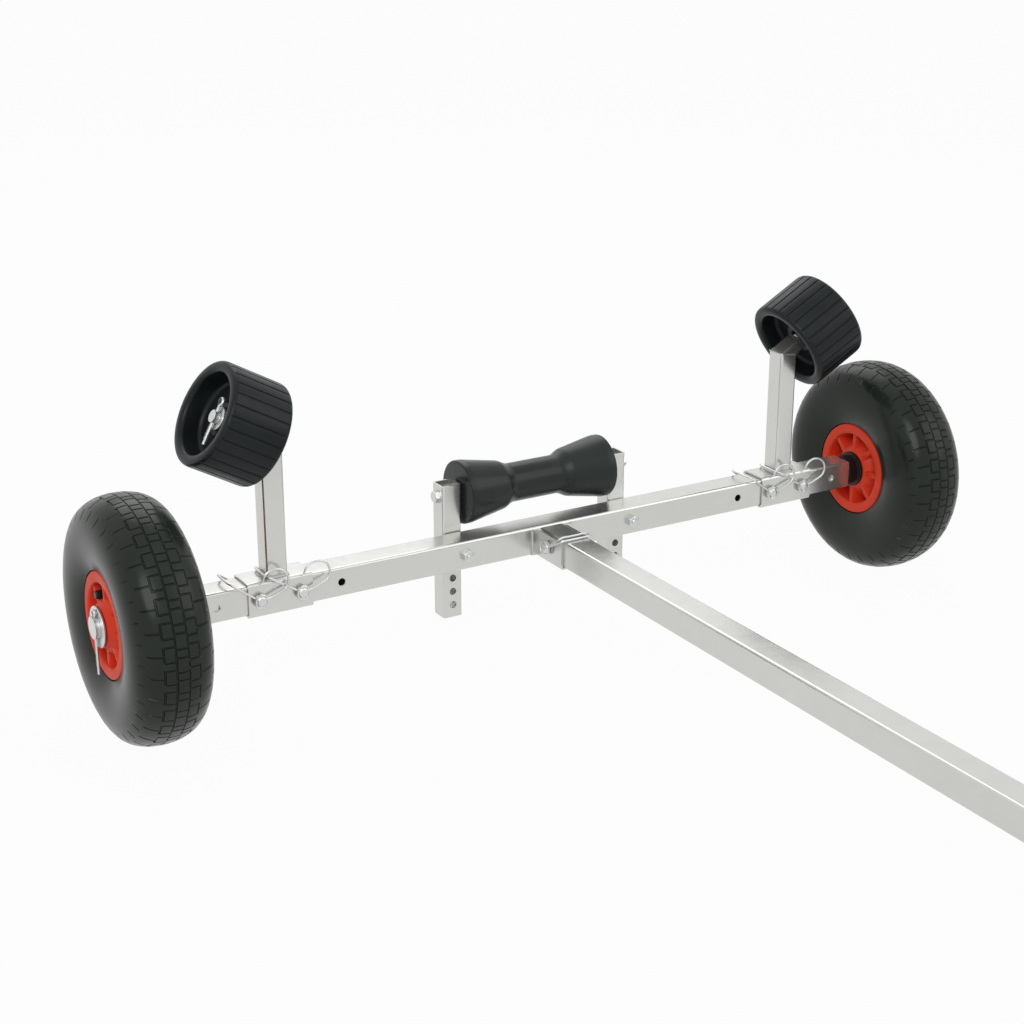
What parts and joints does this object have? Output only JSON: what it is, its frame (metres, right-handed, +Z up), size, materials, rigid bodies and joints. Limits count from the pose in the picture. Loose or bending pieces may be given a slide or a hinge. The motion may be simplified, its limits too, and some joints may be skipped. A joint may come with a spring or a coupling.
{
  "type": "boat launching trolley",
  "caption": "Two-wheeled launching trolley for a small boat: drawbar with cross handle, keel roller on posts, and tilted hull rollers on sleeves that slide along the beam.",
  "frame": {"origin": "on the floor, midway between the wheels and midway along the trolley's length", "axes": "+X along the beam to the right wheel, +Y from the handle back to the wheels, +Z up"},
  "size_m": [1.1194, 1.6215, 0.4044],
  "materials": {
    "zinc_steel": "bright zinc plating, smooth and glossy",
    "red_plastic": "moulded, satin",
    "tyre_rubber": "satin sidewall, moulded block tread",
    "roller_rubber": "satin moulded rubber",
    "black_plastic": "matt moulded",
    "grip_rubber": "matt moulded"
  },
  "bodies": {
    "frame": {"axle_beam": "zinc_steel", "stub_axle_left": "zinc_steel", "stub_axle_right": "zinc_steel", "hub_washer_left": "zinc_steel", "hub_washer_right": "zinc_steel", "hub_pin_left": "zinc_steel", "hub_pin_right": "zinc_steel", "keel_post_left": "zinc_steel", "keel_post_right": "zinc_steel", "keel_bolt_left": "zinc_steel", "keel_bolt_right": "zinc_steel", "keel_axle": "zinc_steel", "drawbar_socket": "zinc_steel", "drawbar": "zinc_steel", "drawbar_pin": "zinc_steel", "drawbar_cap": "black_plastic", "handle_bar": "zinc_steel", "grip_left": "grip_rubber", "grip_right": "grip_rubber", "prop_leg": "zinc_steel", "leg_bolts": "zinc_steel", "leg_foot": "black_plastic"},
    "wheel_left": {"tyre_left": "tyre_rubber", "rim_left": "red_plastic", "bush_left": "black_plastic", "valve_left": "black_plastic"},
    "wheel_right": {"tyre_right": "tyre_rubber", "rim_right": "red_plastic", "bush_right": "black_plastic", "valve_right": "black_plastic"},
    "keel_roller": {"keel_roller": "roller_rubber"},
    "support_left": {"sleeve_left": "zinc_steel", "hull_post_left": "zinc_steel", "roller_rod_left": "zinc_steel", "roller_washer_left": "zinc_steel", "roller_pin_left": "zinc_steel", "lock_pin_left_outer": "zinc_steel", "lock_pin_left_inner": "zinc_steel"},
    "roller_left": {"hull_roller_left": "roller_rubber"},
    "support_right": {"sleeve_right": "zinc_steel", "hull_post_right": "zinc_steel", "roller_rod_right": "zinc_steel", "roller_washer_right": "zinc_steel", "roller_pin_right": "zinc_steel", "lock_pin_right_outer": "zinc_steel", "lock_pin_right_inner": "zinc_steel"},
    "roller_right": {"hull_roller_right": "roller_rubber"}
  },
  "joints": [
    {"name": "wheel_left_spin", "type": "hinge", "parent": "frame", "child": "wheel_left", "pos_m": [-0.511, 0.67325, 0.1375], "axis": [1, 0, 0], "continuous": true},
    {"name": "wheel_right_spin", "type": "hinge", "parent": "frame", "child": "wheel_right", "pos_m": [0.511, 0.67325, 0.1375], "axis": [1, 0, 0], "continuous": true},
    {"name": "keel_roller_spin", "type": "hinge", "parent": "frame", "child": "keel_roller", "pos_m": [0, 0.70325, 0.198], "axis": [1, 0, 0], "continuous": true},
    {"name": "support_left_slide", "type": "slide", "parent": "frame", "child": "support_left", "axis": [-1, 0, 0], "range_m": [-0.05, 0.05]},
    {"name": "support_right_slide", "type": "slide", "parent": "frame", "child": "support_right", "axis": [1, 0, 0], "range_m": [-0.05, 0.05]},
    {"name": "hull_roller_left_spin", "type": "hinge", "parent": "support_left", "child": "roller_left", "pos_m": [-0.38887, 0.67325, 0.33599], "axis": [-0.8746, 0, 0.4848], "continuous": true},
    {"name": "hull_roller_right_spin", "type": "hinge", "parent": "support_right", "child": "roller_right", "pos_m": [0.38887, 0.67325, 0.33599], "axis": [0.8746, 0, 0.4848], "continuous": true}
  ]
}
